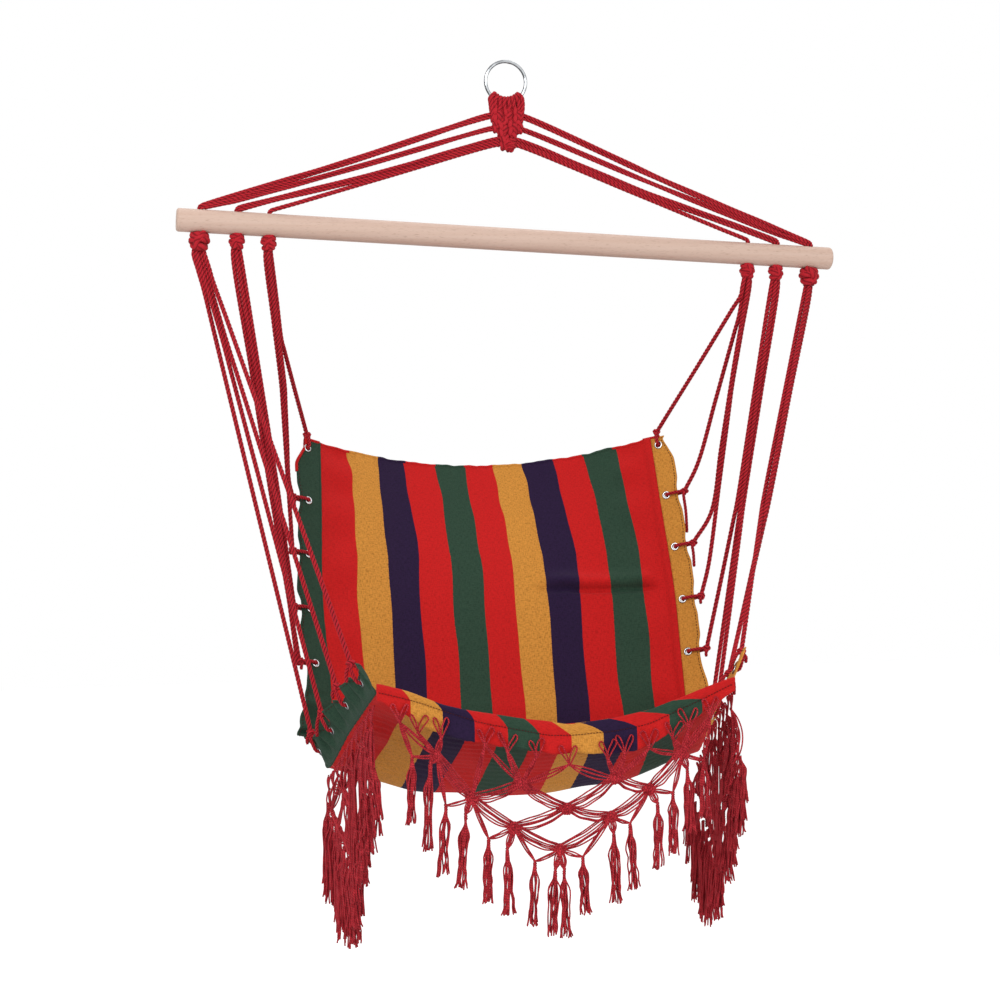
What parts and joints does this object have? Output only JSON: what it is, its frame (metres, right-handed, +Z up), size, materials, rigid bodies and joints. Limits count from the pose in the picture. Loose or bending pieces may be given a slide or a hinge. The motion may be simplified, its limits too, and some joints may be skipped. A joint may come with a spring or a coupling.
{
  "type": "hammock chair",
  "caption": "Hanging hammock chair: padded striped sling tied by cords to eyelets, wooden spreader bar, knotted hanger on a steel ring, and knotted net fringes.",
  "frame": {"origin": "where the ring's eye rests on the hook that holds the chair up, at the top of the eye", "axes": "+Z up, +Y towards the back of the chair, +X to the right of someone who faces the chair's front"},
  "size_m": [1.0002, 0.5408, 1.2682],
  "materials": {
    "steel": "polished",
    "cord": "twisted cotton cord",
    "yarn": "twisted cotton yarn",
    "wood": "sanded, unvarnished",
    "striped_cloth": "thick woven cotton in red, amber, navy and green stripes",
    "green_cloth": "thick woven cotton",
    "amber_cloth": "thick woven cotton"
  },
  "bodies": {
    "ring": {"hanging_ring": "steel"},
    "hanger": {"hanger_knotwork": "cord"},
    "spreader": {"spreader_bar": "wood", "left_outer_knot": "cord", "left_middle_knot": "cord", "left_inner_knot": "cord", "right_outer_knot": "cord", "right_middle_knot": "cord", "right_inner_knot": "cord", "left_outer_rope": "cord", "left_middle_rope": "cord", "left_inner_rope": "cord", "right_outer_rope": "cord", "right_middle_rope": "cord", "right_inner_rope": "cord"},
    "seat": {"back_pad": "striped_cloth", "seat_pad": "striped_cloth", "left_flange": "green_cloth", "right_flange": "amber_cloth", "front_hem": "striped_cloth", "left_cord_back_1": "cord", "left_cord_back_2": "cord", "left_cord_back_3": "cord", "left_cord_back_4": "cord", "left_cord_back_5": "cord", "left_cord_seat_1": "cord", "left_cord_seat_2": "cord", "left_cord_seat_3": "cord", "left_cord_seat_4": "cord", "right_cord_back_1": "cord", "right_cord_back_2": "cord", "right_cord_back_3": "cord", "right_cord_back_4": "cord", "right_cord_back_5": "cord", "right_cord_seat_1": "cord", "right_cord_seat_2": "cord", "right_cord_seat_3": "cord", "right_cord_seat_4": "cord", "left_eyelet_back_1": "steel", "left_eyelet_back_2": "steel", "left_eyelet_back_3": "steel", "left_eyelet_back_4": "steel", "left_eyelet_back_5": "steel", "left_eyelet_seat_1": "steel", "left_eyelet_seat_2": "steel", "left_eyelet_seat_3": "steel", "left_eyelet_seat_4": "steel", "right_eyelet_back_1": "steel", "right_eyelet_back_2": "steel", "right_eyelet_back_3": "steel", "right_eyelet_back_4": "steel", "right_eyelet_back_5": "steel", "right_eyelet_seat_1": "steel", "right_eyelet_seat_2": "steel", "right_eyelet_seat_3": "steel", "right_eyelet_seat_4": "steel"},
    "front_fringe": {"front_fringe": "yarn"},
    "left_fringe": {"left_fringe": "yarn"},
    "right_fringe": {"right_fringe": "yarn"}
  },
  "joints": [
    {"name": "hanger_roll", "type": "hinge", "parent": "ring", "child": "hanger", "pos_m": [0, 0, -0.028], "axis": [0, 1, 0], "range_deg": [-15, 15]},
    {"name": "bar_swing", "type": "hinge", "parent": "hanger", "child": "spreader", "pos_m": [0, 0, -0.0985], "axis": [1, 0, 0], "range_deg": [-20, 20]},
    {"name": "seat_swing", "type": "hinge", "parent": "spreader", "child": "seat", "pos_m": [0.00872, 0, -0.29137], "axis": [0.9989, 0, -0.0459], "range_deg": [-15, 15]},
    {"name": "front_fringe_swing", "type": "hinge", "parent": "seat", "child": "front_fringe", "pos_m": [0, -0.2824, -0.924], "axis": [1, 0, 0], "range_deg": [-25, 0]},
    {"name": "left_fringe_swing", "type": "hinge", "parent": "seat", "child": "left_fringe", "pos_m": [-0.2686, -0.154, -0.96841], "axis": [-0.1015, 0.9039, -0.4154], "range_deg": [-25, 25]},
    {"name": "right_fringe_swing", "type": "hinge", "parent": "seat", "child": "right_fringe", "pos_m": [0.2594, -0.154, -0.96841], "axis": [0.1015, 0.9039, -0.4154], "range_deg": [-25, 25]}
  ]
}
